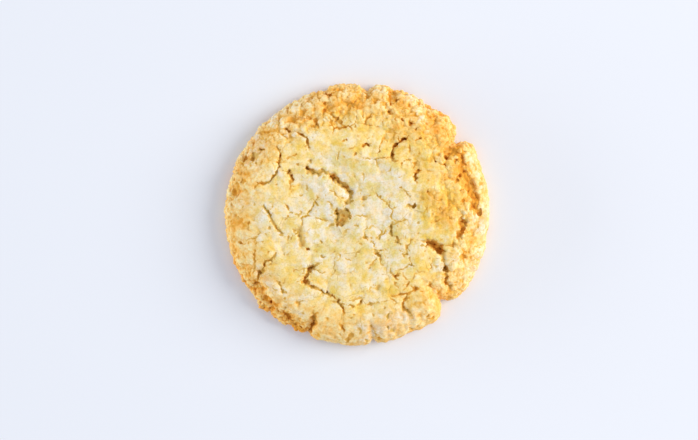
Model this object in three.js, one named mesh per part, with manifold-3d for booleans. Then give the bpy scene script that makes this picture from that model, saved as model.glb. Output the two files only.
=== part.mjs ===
// A round sugar cookie, in millimetres with +Z up. It is one baked piece: a flat underside, a browned rim
// that rounds over into the top, and a top that cracked into plates as it spread in the oven.
// The origin is on the table, under the middle of the cookie's bounding box.
import * as THREE from "three";
import { ImprovedNoise } from "three/addons/math/ImprovedNoise.js";
import { mergeVertices } from "three/addons/utils/BufferGeometryUtils.js";
import Module from "manifold-3d";

// Driving dimensions
const RADIUS = 40; // the rim's mean radius
const THICKNESS = 10.6; // table to the mean level of the top
const RIM_HEIGHT = 2; // height of the widest line of the rim
const BASE_INSET = 1.4; // how far the underside's flat face stops short of the rim
const EDGE_POWER = 6; // how late the top rounds over: higher is a flatter top with a tighter edge
const CENTRE_SAG = 0.6; // the middle sinks a little as the cookie cools
const SAG_FROM = 0.1; // shares of the radius between which the sag dies out
const SAG_TO = 0.75;

// How finely the body is faceted
const AROUND = 90;
const TOP_RINGS = 26;
const EDGE_RINGS = 3;
const RING_CROWDING = 1.6; // above 1 puts more of the rings near the rim

// Unevenness that has no plan to it. Size is the most it adds or takes, and across is its grain.
const WAVER = { size: 0.5, across: 0.5, seed: 3.1 }; // of the outline, on a circle of radius 1
const CRUMBLE = { size: 0.5, across: 0.11, seed: 7.7 }; // of the outline, on a circle of radius 1
const HEAVE = { size: 0.9, across: 9, seed: 0.5 }; // of the top
const RIPPLE = { size: 0.8, across: 4.2, seed: 4.5 }; // of the top
const CRACK_WANDER = { size: 0.7, across: 1.7, seed: 9.5 }; // of a crack, to either side of its route

const perlin = new ImprovedNoise();
const { degToRad, radToDeg, smoothstep } = THREE.MathUtils;

function uneven({ size, across, seed }, x, y) {
  return size * perlin.noise(x / across, y / across, seed);
}

// The uneven outline: nicks where a crack opens at the rim, and lumps of dough pushed out between them.
// Angles are in degrees from +X towards +Y, spans are half-widths in degrees, and sizes are along the radius.
const NICKS = [
  { name: "upper_right_step", angle: 37.2, span: 3.0, size: 3.0 },
  { name: "top_right_flat", angle: 58, span: 8, size: 0.5 },
  { name: "top_nick", angle: 85, span: 4.0, size: 2.1 },
  { name: "top_left_nick", angle: 104.5, span: 1.6, size: 1.4 },
  { name: "top_left_flat", angle: 116, span: 6, size: 0.9 },
  { name: "upper_left_flat", angle: 130, span: 9, size: 0.6 },
  { name: "bottom_left_gap", angle: 247, span: 2.2, size: 1.9 },
  { name: "bottom_nick", angle: 276.8, span: 1.5, size: 1.8 },
  { name: "bottom_right_flat", angle: 295, span: 6, size: 0.5 },
  { name: "lower_right_step", angle: 313.8, span: 2.9, size: 3.2 },
];
const LUMPS = [
  { name: "upper_right_lip", angle: 30, span: 5, size: 0.5 },
  { name: "left_bulge", angle: 178, span: 28, size: 0.8 },
  { name: "lower_left_bulge", angle: 206, span: 15, size: 1.1 },
  { name: "lower_left_crumb", angle: 223.5, span: 3, size: 1.0 },
  { name: "bottom_left_bulge", angle: 238, span: 9, size: 0.7 },
];

// The smallest turn between two angles, in degrees.
function turn(a, b) {
  return Math.abs(((((a - b) % 360) + 540) % 360) - 180);
}

function bump(at, { angle, span, size }) {
  return size * Math.exp(-((turn(at, angle) / span) ** 2));
}

function totalOf(bumps, at) {
  return bumps.reduce((sum, each) => sum + bump(at, each), 0);
}

function outline(angle) {
  const [x, y] = [Math.cos(degToRad(angle)), Math.sin(degToRad(angle))];
  const chance = uneven(WAVER, x, y) + uneven(CRUMBLE, x, y);
  return RADIUS + chance + totalOf(LUMPS, angle) - totalOf(NICKS, angle);
}

// Two stretches of the rim stand lower than the rest: the lip that broke away down the right-hand side,
// and the ledge at the lower left. Each drops between two shares of the radius, and fades at its ends.
const LOW_RIMS = [
  { name: "right_lip", angle: -10, span: 42, drop: 1.5, from: 0.8, to: 0.88 },
  { name: "left_ledge", angle: 226, span: 16, drop: 1.8, from: 0.86, to: 0.92 },
];
const LOW_RIM_FADE = 0.3; // the share of its span over which a low rim comes back up

function rimDrop(angle, share) {
  const drops = LOW_RIMS.map(({ angle: middle, span, drop, from, to }) => {
    const along = 1 - smoothstep(turn(angle, middle), span * (1 - LOW_RIM_FADE), span);
    return drop * along * smoothstep(share, from, to);
  });
  return Math.max(...drops);
}

// Height of the uncracked top.
function topHeight(x, y) {
  const angle = radToDeg(Math.atan2(y, x));
  const share = Math.min(1, Math.hypot(x, y) / outline(angle));
  const rise = Math.sqrt(1 - share ** EDGE_POWER);
  const sag = CENTRE_SAG * (1 - smoothstep(share, SAG_FROM, SAG_TO));
  const chance = uneven(HEAVE, x, y) + uneven(RIPPLE, x, y);
  return RIM_HEIGHT + (THICKNESS - RIM_HEIGHT - sag - rimDrop(angle, share) + chance) * rise;
}

// The body before it cracks: a lathed profile, whose rings are pushed out to the outline and up to the top.
function bodyGeometry() {
  const profile = [new THREE.Vector2(0, 0)];
  for (let i = 0; i < EDGE_RINGS; i++) {
    const a = (i / EDGE_RINGS) * (Math.PI / 2);
    const radius = RADIUS - BASE_INSET * (1 - Math.sin(a));
    profile.push(new THREE.Vector2(radius, RIM_HEIGHT * (1 - Math.cos(a))));
  }
  for (let i = TOP_RINGS; i > 0; i--) {
    const share = 1 - (1 - i / TOP_RINGS) ** RING_CROWDING;
    profile.push(new THREE.Vector2(RADIUS * share, THICKNESS));
  }
  profile.push(new THREE.Vector2(0, THICKNESS));

  const geometry = new THREE.LatheGeometry(profile, AROUND).rotateX(Math.PI / 2);
  const position = geometry.getAttribute("position");
  for (let i = 0; i < position.count; i++) {
    const [x, y, z] = [position.getX(i), position.getY(i), position.getZ(i)];
    const stretch = outline(radToDeg(Math.atan2(y, x))) / RADIUS;
    const isTop = z > RIM_HEIGHT;
    position.setXYZ(i, x * stretch, y * stretch, isTop ? topHeight(x * stretch, y * stretch) : z);
  }
  return geometry;
}

// The cracks. Each is a V cut along a route of [x, y] points, with its width at the surface and its depth.
// A crack that opens runs out through the rim at full depth, and the others fade at both ends.
const CRACKS = [
  {
    name: "centre_gully",
    width: 1.9,
    depth: 3.2,
    route: [[-16.2, 14], [-12, 12.3], [-7.8, 11.6], [-4.4, 8.7], [-2.3, 6.2], [-3.8, 3], [-4.6, -0.5], [-5.6, -3]],
  },
  {
    name: "right_gulf",
    width: 2.6,
    depth: 4.2,
    opens: true,
    route: [[20.2, -8.6], [22.8, -8.8], [25.6, -11.6], [26.5, -16], [26.4, -20], [27.4, -24], [29, -30]],
  },
  {
    name: "bottom_gap",
    width: 2.8,
    depth: 4.6,
    opens: true,
    route: [[-13.1, -27.6], [-13.4, -31], [-14.6, -35], [-16.4, -40]],
  },
  {
    name: "lower_arc",
    width: 1.5,
    depth: 2.4,
    route: [[-11.8, -14.4], [-14.5, -16.4], [-16.8, -19.6], [-12.5, -22.3], [-8.4, -24], [-4.6, -27.6], [-3, -31]],
  },
  {
    name: "lower_arc_branch",
    width: 1.2,
    depth: 1.6,
    route: [[-6, -26.2], [-1.5, -25.8], [4.5, -26.2], [9.5, -25], [14, -23.6], [19.6, -22.2]],
  },
  {
    name: "left_edge",
    width: 1.2,
    depth: 1.7,
    route: [[-29.2, 3], [-26.6, 0.4], [-25.8, -2.4], [-22.8, -6]],
  },
  {
    name: "left_corner",
    width: 1.5,
    depth: 2.6,
    opens: true,
    route: [[-24.4, -10.4], [-25.7, -13.8], [-28.3, -14.5], [-29.6, -18], [-31.6, -22], [-36, -27]],
  },
  {
    name: "left_shelf",
    width: 1.2,
    depth: 1.9,
    route: [[-31.4, 7.8], [-29.2, 9.2], [-27, 9.4], [-25, 11.8], [-24, 15], [-23.5, 18], [-24.6, 21.2]],
  },
  {
    name: "left_fork",
    width: 1.6,
    depth: 2.2,
    route: [[-23.2, 13], [-20.8, 12.4], [-19.9, 10.6], [-20.4, 7]],
  },
  {
    name: "upper_left_arc",
    width: 1.4,
    depth: 2.2,
    route: [[-23, 25.9], [-18.4, 24.9], [-15.6, 22], [-14.6, 19], [-14.3, 15]],
  },
  {
    name: "top_arc",
    width: 1.3,
    depth: 1.9,
    route: [[-10.2, 33.6], [-10.2, 30.6], [-7.8, 29.3], [-4.8, 27.2], [-5.6, 24]],
  },
  {
    name: "upper_right_hook",
    width: 1.8,
    depth: 3,
    route: [[15.4, 23.8], [12.4, 22], [10.2, 19.6], [10.2, 17], [11.8, 14]],
  },
  {
    name: "right_shelf",
    width: 1.3,
    depth: 1.9,
    route: [[19, 13.4], [17.2, 11.6], [17.8, 9.2], [21, 6.6], [25.4, 4.2]],
  },
  {
    name: "right_notch",
    width: 1.5,
    depth: 2.2,
    route: [[21.4, 17], [23.4, 15.4], [27.4, 14.2]],
  },
  {
    name: "middle_fork",
    width: 1.1,
    depth: 1.3,
    route: [[4.2, 6.8], [8.3, 3.2], [10.2, 0.6], [10.1, -4], [12, -8.6], [16, -10.2]],
  },
  {
    name: "lip_trough_upper",
    width: 3.4,
    depth: 2.4,
    route: [[28.6, 19.4], [31, 14.6], [31.8, 10.4], [34, 6.2], [35.4, 1.4]],
  },
  {
    name: "lip_trough_lower",
    width: 2.8,
    depth: 2.2,
    route: [[33, 0.4], [31.3, -2.8], [30.2, -6.4], [31.6, -11]],
  },
];
const CRACK_FLOOR = 0.9; // no crack comes nearer to the table than this
const WEDGE_HEADROOM = 0.8; // how far each wedge stands above the top, so that it cuts clean through
const FADE_LIFT = 0.3; // a crack that fades ends this far above the top, so that it leaves the crust cleanly
const FADE_SHARE = 0.25; // the part of a route over which it fades
const STEPS_PER_SPAN = 3; // straight steps between two points of a route

// How much of its depth a crack has, at a share of the way along it.
function crackFade(share, opens) {
  const start = smoothstep(share, 0, FADE_SHARE);
  const end = opens ? 1 : smoothstep(1 - share, 0, FADE_SHARE);
  return start * end;
}

// A straight wedge, bent so that it follows the route with its edge down.
function crackGeometry({ width, depth, opens, route }) {
  const path = new THREE.CatmullRomCurve3(route.map(([x, y]) => new THREE.Vector3(x, y, 0)));
  const height = depth + WEDGE_HEADROOM;
  const halfWidth = ((width / 2) * height) / depth;
  const wedge = new THREE.Shape([
    new THREE.Vector2(0, 0),
    new THREE.Vector2(halfWidth, height),
    new THREE.Vector2(-halfWidth, height),
  ]);
  const steps = (route.length - 1) * STEPS_PER_SPAN;
  const geometry = new THREE.ExtrudeGeometry(wedge, { depth: 1, steps, bevelEnabled: false });
  const position = geometry.getAttribute("position");
  for (let i = 0; i < position.count; i++) {
    const [across, up, share] = [position.getX(i), position.getY(i), position.getZ(i)];
    const { x, y } = path.getPoint(share);
    const along = path.getTangent(share);
    const side = across + uneven(CRACK_WANDER, x, y);
    const reach = (depth + FADE_LIFT) * crackFade(share, opens) - FADE_LIFT;
    const floor = Math.max(CRACK_FLOOR, topHeight(x, y) - reach);
    position.setXYZ(i, x - along.y * side, y + along.x * side, floor + up);
  }
  return geometry;
}

// The holes, where a chunk of the crust has dropped out: uneven plugs, rounded underneath.
const HOLES = [
  { name: "crater", x: -4.9, y: -1, radius: 2.3, depth: 2.4 },
  { name: "lower_left_hole", x: -14.3, y: -16.3, radius: 1.1, depth: 2.6 },
  { name: "right_hole", x: 26.7, y: -16, radius: 1.2, depth: 3.4 },
  { name: "top_hole", x: 9.3, y: 30.8, radius: 1.1, depth: 2 },
  { name: "upper_right_hole", x: 16.2, y: 27.3, radius: 1, depth: 1.8 },
  { name: "lip_hollow", x: 33.4, y: 8, radius: 1.8, depth: 1.8 },
];
const HOLE_FACETS = 8;
const HOLE_UNEVENNESS = { size: 0.7, across: 1 }; // of the outline, as a share of the radius

function holeGeometry({ x, y, radius, depth }) {
  const plug = new THREE.SphereGeometry(1, HOLE_FACETS, HOLE_FACETS / 2).rotateX(Math.PI / 2);
  const position = plug.getAttribute("position");
  for (let i = 0; i < position.count; i++) {
    const [px, py, pz] = [position.getX(i), position.getY(i), position.getZ(i)];
    const swell = 1 + uneven({ ...HOLE_UNEVENNESS, seed: pz }, px + x, py + y);
    position.setXYZ(i, px * swell, py * swell, pz);
  }
  return plug.scale(radius, radius, depth).translate(x, y, topHeight(x, y));
}

// Booleans work on closed meshes whose shared corners are merged.
const MERGE_WITHIN = 1e-3;
const wasm = await Module();
wasm.setup();

function solidOf(geometry) {
  const bare = geometry.clone();
  bare.deleteAttribute("normal");
  bare.deleteAttribute("uv");
  const merged = mergeVertices(bare, MERGE_WITHIN);
  const mesh = new wasm.Mesh({
    numProp: 3,
    vertProperties: merged.getAttribute("position").array,
    triVerts: new Uint32Array(merged.index.array),
  });
  return new wasm.Manifold(mesh);
}

function geometryOf(solid) {
  const { vertProperties, triVerts } = solid.getMesh();
  const geometry = new THREE.BufferGeometry();
  geometry.setAttribute("position", new THREE.BufferAttribute(vertProperties, 3));
  geometry.setIndex(new THREE.BufferAttribute(triVerts, 1));
  geometry.computeVertexNormals();
  return geometry;
}

function cookieGeometry() {
  const cuts = [...CRACKS.map(crackGeometry), ...HOLES.map(holeGeometry)];
  const cracked = cuts.reduce((body, cut) => body.subtract(solidOf(cut)), solidOf(bodyGeometry()));
  const geometry = geometryOf(cracked);
  geometry.computeBoundingBox();
  const middle = geometry.boundingBox.getCenter(new THREE.Vector3());
  return geometry.translate(-middle.x, -middle.y, 0);
}

const bakedCrust = new THREE.MeshStandardMaterial({ color: 0xf0cd84, roughness: 0.9, metalness: 0 });
const cookie = new THREE.Mesh(cookieGeometry(), bakedCrust);
cookie.name = "cookie";

const part = new THREE.Group();
part.add(cookie);

export default part;
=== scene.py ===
# %% [markdown]
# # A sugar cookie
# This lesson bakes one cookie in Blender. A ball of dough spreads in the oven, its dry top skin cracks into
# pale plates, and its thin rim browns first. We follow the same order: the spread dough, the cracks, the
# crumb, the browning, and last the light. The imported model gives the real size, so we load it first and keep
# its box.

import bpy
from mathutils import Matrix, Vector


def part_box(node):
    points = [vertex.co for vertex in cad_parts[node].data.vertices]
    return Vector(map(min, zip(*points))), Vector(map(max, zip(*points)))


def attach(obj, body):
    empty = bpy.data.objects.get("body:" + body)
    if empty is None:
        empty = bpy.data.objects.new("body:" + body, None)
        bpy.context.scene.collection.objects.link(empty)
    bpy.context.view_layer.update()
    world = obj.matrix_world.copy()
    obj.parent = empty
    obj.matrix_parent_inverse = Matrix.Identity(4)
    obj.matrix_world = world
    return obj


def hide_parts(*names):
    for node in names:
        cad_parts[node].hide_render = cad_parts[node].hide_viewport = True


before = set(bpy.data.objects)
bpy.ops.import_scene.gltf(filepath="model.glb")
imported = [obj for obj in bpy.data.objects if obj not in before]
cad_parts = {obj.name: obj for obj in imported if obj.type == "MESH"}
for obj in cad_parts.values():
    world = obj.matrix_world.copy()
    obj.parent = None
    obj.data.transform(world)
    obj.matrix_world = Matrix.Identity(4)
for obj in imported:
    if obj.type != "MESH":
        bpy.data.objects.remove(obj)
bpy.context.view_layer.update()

import math

import bmesh
import bpy
import numpy as np
from mathutils import Matrix, Vector, noise

# %% [markdown]
# ## Sizes
# The crust is shaped in millimetres, which suit its grain, and the finished mesh is scaled to metres. The
# radius and thickness come from the imported model's box. A cookie is never quite round or level, so that box
# is a little wider than the mean radius, and a little higher than the mean level of the top.

# %% Sizes of the dough
MM = 0.001
LOW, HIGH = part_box("cookie")
RIM_SWELL = 0.6  # how far lumps stand out of the mean outline
TOP_SWELL = 0.5  # and how far up from the mean top
RADIUS = (HIGH.x - LOW.x + HIGH.y - LOW.y) / 4 / MM - RIM_SWELL
THICKNESS = HIGH.z / MM - TOP_SWELL
RIM_HEIGHT = 2.0  # where the side is widest
BASE_INSET = 1.4  # how far the side draws in below that
EDGE_POWER = 8  # a higher power makes the edge of the top squarer
CENTRE_SAG = 0.6
print(f"mean radius {RADIUS:.1f} mm, thickness {THICKNESS:.1f} mm")

# %% [markdown]
# ## Chance, the same every time
# Everything uneven here is a fixed function of a point's place, so the cookie comes out the same each run.
# `grain` is Blender's own noise, soft swells between about -1 and 1. `reach` is its Voronoi noise: how far
# each point is from the nearest of many scattered centres, which suits crumbs. A seed moves the pattern, so
# that no two layers repeat each other.

# %% Noise on many points at once
SEED_STEPS = np.array([1.0, 2.7, -1.9])


def samples(points, across, seed):
    return (points / across + seed * SEED_STEPS).tolist()


def grain(points, across, seed):
    return np.array([noise.noise(p) for p in samples(points, across, seed)])


def grains(points, *layers):
    """Layers added up. Each is a height, how far across its swells are, and a seed."""
    return sum(height * grain(points, across, seed) for height, across, seed in layers)


def reach(points, across, seed):
    """0 at the middle of a crumb, and about 1 where three crumbs meet."""
    return np.array([noise.voronoi(p)[0][0] for p in samples(points, across, seed)])


def smooth(values, low, high):
    """0 below low, 1 above high, and a soft step between."""
    t = np.clip((values - low) / (high - low), 0, 1)
    return t * t * (3 - 2 * t)


def flat_points(x, y):
    return np.stack([x, y, np.zeros_like(x)], axis=1)


print("a grain of", grain(np.ones((1, 3)), 2.0, 1.0))

# %% [markdown]
# The plates of a cracked skin are flat Voronoi cells. Blender's noise can't tell how far a point is from the
# seam round its cell, so we work that out: one centre is scattered in each square of a grid, the nearest one
# owns the point, and the seam is half way to any of its neighbours.

# %% Plates on a scattered grid
HASH_STEPS = np.array([127.1, 311.7])
HASH_STRETCH = 43758.5  # so large that even neighbours draw unlike lots
SCATTER = 0.45  # how far a centre strays in its square
FAR_OFF = 9.0  # further than any seam


def lot(squares, seed):
    """A random number from 0 to 1 for each square of the grid."""
    mixed = np.sin(squares @ HASH_STEPS + seed) * HASH_STRETCH
    return mixed - np.floor(mixed)


def centre_in(squares, seed):
    chances = np.stack([lot(squares, seed), lot(squares, seed + 5)], axis=1)
    return squares + 0.5 + SCATTER * (2 * chances - 1)


def squares_around(squares, away):
    steps = range(-away, away + 1)
    return [squares + np.array([i, j]) for i in steps for j in steps]


def plates(x, y, across, seed):
    """The distance to the seam, the offset from the plate's centre, and a chance for each plate."""
    places = np.stack([x, y], axis=1) / across
    nearest = np.full(len(x), FAR_OFF)
    own, centre = np.zeros_like(places), np.zeros_like(places)
    for squares in squares_around(np.floor(places), 1):
        middles = centre_in(squares, seed)
        distance = np.hypot(*(middles - places).T)
        closer = distance < nearest
        nearest[closer], own[closer], centre[closer] = distance[closer], squares[closer], middles[closer]
    seam = np.full(len(x), FAR_OFF)
    for squares in squares_around(own, 2):
        apart = centre_in(squares, seed) - centre
        length = np.hypot(*apart.T) + 1e-9
        distance = ((apart / 2 + centre - places) * apart).sum(axis=1) / length
        is_neighbour = length > 1e-6
        seam = np.where(is_neighbour, np.minimum(seam, distance), seam)
    return seam * across, (places - centre) * across, lot(own, seed + 9)


MIDDLE = np.zeros((2, 1))
print("the seam nearest to the middle is", plates(*MIDDLE, 8.0, 1.0)[0], "mm away")

# %% [markdown]
# ## The outline
# A crack that reaches the rim pulls a nick into it, and the dough between two nicks bulges. The outline could
# be drawn point by point, but bell curves of the angle, in degrees from +X, are easier to move about. Three
# waves, whose widths are shares of the radius, make the rest of it uneven.

# %% Outline of the rim
NICKS = [
    # an angle, a half-width and a depth
    (37, 3, 3.6), (56, 8, 0.5), (85.5, 3.2, 2.0), (104.5, 1.6, 1.4), (116, 6, 0.9), (130, 10, 0.5),
    (190, 5, 0.4), (247, 2.2, 1.6), (276.8, 1.5, 1.8), (295, 6, 0.5), (314.3, 3.2, 4.2),
]
LUMPS = [
    # an angle, a half-width and a height
    (8, 9, 0.6), (30, 5, 0.7), (178, 28, 0.6), (203, 4, 0.6), (223, 4, 0.9), (248, 5, 0.5), (335, 13, 0.5),
]
WAVES = [(0.5, 0.5, 3.1), (0.4, 0.11, 7.7), (0.45, 0.035, 9.1)]
OUTLINE_STEPS = 1440


def turn(a, b):
    """The least turn between two angles, in degrees."""
    return np.abs((a - b + 180) % 360 - 180)


def bells(angles, rows):
    return sum(size * np.exp(-((turn(angles, at) / span) ** 2)) for at, span, size in rows)


def outline(angles):
    a = np.radians(angles)
    chance = grains(flat_points(np.cos(a), np.sin(a)), *WAVES)
    return RADIUS + chance + bells(angles, LUMPS) - bells(angles, NICKS)


TURNS = np.linspace(-180, 180, OUTLINE_STEPS + 1)
OUTLINE = outline(TURNS)


def bearing(x, y):
    return np.degrees(np.arctan2(y, x))


def outline_at(x, y):
    return np.interp(bearing(x, y), TURNS, OUTLINE)


def rim_share(x, y):
    """0 in the middle of the cookie and 1 on its outline."""
    return np.hypot(x, y) / outline_at(x, y)


print(f"the rim runs from {OUTLINE.min():.1f} to {OUTLINE.max():.1f} mm from the middle")

# %% [markdown]
# ## The top before it cracks
# The top is a superellipse, nearly flat until it rounds over into the rim, with a middle that sagged as it
# cooled. Two stretches of the rim lie lower: the lip that broke away down the right-hand side, and a ledge at
# the lower left. A formula suits this better than sculpting, because any point can ask for its height.

# %% Height of the uncracked top
LOW_RIMS = [
    # an angle, a half-width, a drop, and the shares of the radius where it starts and is full
    (-10, 42, 1.5, 0.8, 0.88),
    (231, 22, 3.6, 0.86, 0.92),
]
UNEVEN_TOP = [(1.1, 9, 0.5), (0.5, 4.2, 4.5)]


def rim_drop(x, y, share):
    angles = bearing(x, y)
    drops = [
        drop * (1 - smooth(turn(angles, at), 0.7 * span, span)) * smooth(share, start, full)
        for at, span, drop, start, full in LOW_RIMS
    ]
    return np.max(drops, axis=0)


def top_height(x, y):
    share = np.clip(rim_share(x, y), 0, 1)
    rise = np.sqrt(1 - share**EDGE_POWER)
    chance = grains(flat_points(x, y), *UNEVEN_TOP)
    sag = CENTRE_SAG * (1 - smooth(share, 0.1, 0.75))
    return RIM_HEIGHT + (THICKNESS - RIM_HEIGHT - sag - rim_drop(x, y, share) + chance) * rise


print(f"the middle of the top is {top_height(*MIDDLE)[0]:.1f} mm high")

# %% [markdown]
# ## The cracks
# As the dough spreads under its dry skin, the skin tears. Noise alone could tear it, but the tears that give
# this cookie its face are listed, each as a width, a depth and a route of a few points, all in
# millimetres. First come the long ones, such as the gully in the middle and the gulf that cuts off the lip.

# %% Long tears
LONG_TEARS = [
    (1.2, 1.7, [(-15.9, 13.9), (-15, 13), (-12.2, 12.1), (-10.9, 12.6), (-9.2, 12.2), (-7.5, 11.6),
                (-6.4, 9.7), (-4.6, 8.8), (-3.8, 7.8), (-2.2, 6.5), (-2.6, 5), (-3.6, 3.3), (-3.6, 2.2)]),
    (0.55, 1.5, [(-12.2, -14.6), (-13.8, -15.9), (-15.2, -17.6), (-16.3, -19.2), (-15.8, -21.2),
                 (-12.3, -22.4), (-9.4, -24.3), (-7.6, -24.6), (-5.8, -26.3), (-4.6, -28), (-4, -29.8)]),
    (2.1, 3.8, [(19.3, -8.4), (22, -8.9), (24, -10.4), (25.7, -12.4)]),
    (0.8, 1.2, [(25.4, -12), (25.5, -13.6), (25.8, -15.4)]),
    (0.9, 1.9, [(26.6, -16.8), (26.6, -19), (26.2, -20.4), (27.4, -21.4), (28.2, -22.6)]),
    (1.7, 3.4, [(-13.4, -29.4), (-13.2, -32), (-14, -34), (-15, -36.2), (-16, -39)]),
    (1.5, 1.3, [(26.6, 19.6), (29, 19), (31, 17), (31.2, 13.4), (32.6, 10.4), (33.6, 7), (35, 4),
                (34.6, 0.6)]),
    (1.2, 1.3, [(32.6, -0.6), (31.2, -3), (30.8, -5.6), (29.9, -8)]),
    (0.6, 1.6, [(-28.7, 2.6), (-27.9, 1.4), (-26.6, 0.4), (-26, -1.8), (-24.8, -3.9), (-23.6, -5.2),
                (-22.6, -6.4)]),
    (0.55, 1.2, [(-24.4, -10.6), (-25.2, -12.4), (-25.9, -13.9), (-27.8, -13.8), (-28.3, -15.4),
                 (-28.6, -17.2), (-30.1, -18.6), (-30.2, -21), (-30.6, -23)]),
    (0.6, 1.6, [(-31.4, 7.4), (-29.8, 9.6), (-28.6, 9.1), (-27.2, 9.2), (-26.2, 10.8), (-25.4, 11.6),
                (-24.3, 13.2), (-24.1, 14.6), (-23.4, 16.6), (-23.4, 18.6), (-24.4, 20.8)]),
    (0.5, 1.3, [(-23.1, 13), (-22, 13.2), (-20.6, 12.3), (-19.8, 11.1), (-20.4, 9), (-20.6, 7.4)]),
    (0.7, 1.5, [(-22.4, 25.8), (-21.1, 25.2), (-18.4, 24.6), (-16.4, 23.7), (-15.3, 22.4), (-15.2, 20.8),
                (-14.2, 20.1)]),
    (0.6, 1.3, [(-10.4, 32.2), (-10.2, 30.8), (-8.6, 30), (-7.2, 28.9), (-5.3, 27.8), (-4.9, 26.5)]),
    (0.9, 2.6, [(15.3, 23.6), (13.8, 22.3), (12.5, 22), (11.6, 21), (10.3, 20.1), (10.4, 18.6), (10.1, 17.2),
                (10.9, 15.2)]),
    (0.7, 1.7, [(18.9, 13.2), (17.4, 12.8), (17, 11.2), (17.7, 9.2)]),
    (0.4, 0.5, [(17.7, 9.2), (19.6, 8.7), (20.9, 7), (22.2, 5.2), (23.9, 4), (25.6, 4.9)]),
    (0.42, 0.95, [(4.6, 6.5), (6.2, 5.3), (8.4, 3.3), (10, 1.2), (10.3, -2.3), (9.7, -4.6), (9.9, -6.3),
                  (11.6, -7.2), (12.6, -9.3)]),
    (0.5, 1.1, [(-3.2, -25.9), (-1.6, -25.8), (0.2, -25.1), (1.3, -24.6)]),
    (0.5, 1.2, [(9.8, -24.9), (12.8, -24.1), (15, -23.4), (16.4, -22.6), (18.7, -22.3)]),
    (0.7, 1.1, [(14.2, -24), (14.4, -25.4), (13.2, -26.9), (13.8, -28.6), (16.2, -29.9)]),
]
print(len(LONG_TEARS), "long tears")

# %% [markdown]
# Round them lie the short ones, from 1 to 7 mm long. Many are only a dash where two plates have drawn apart.

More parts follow.
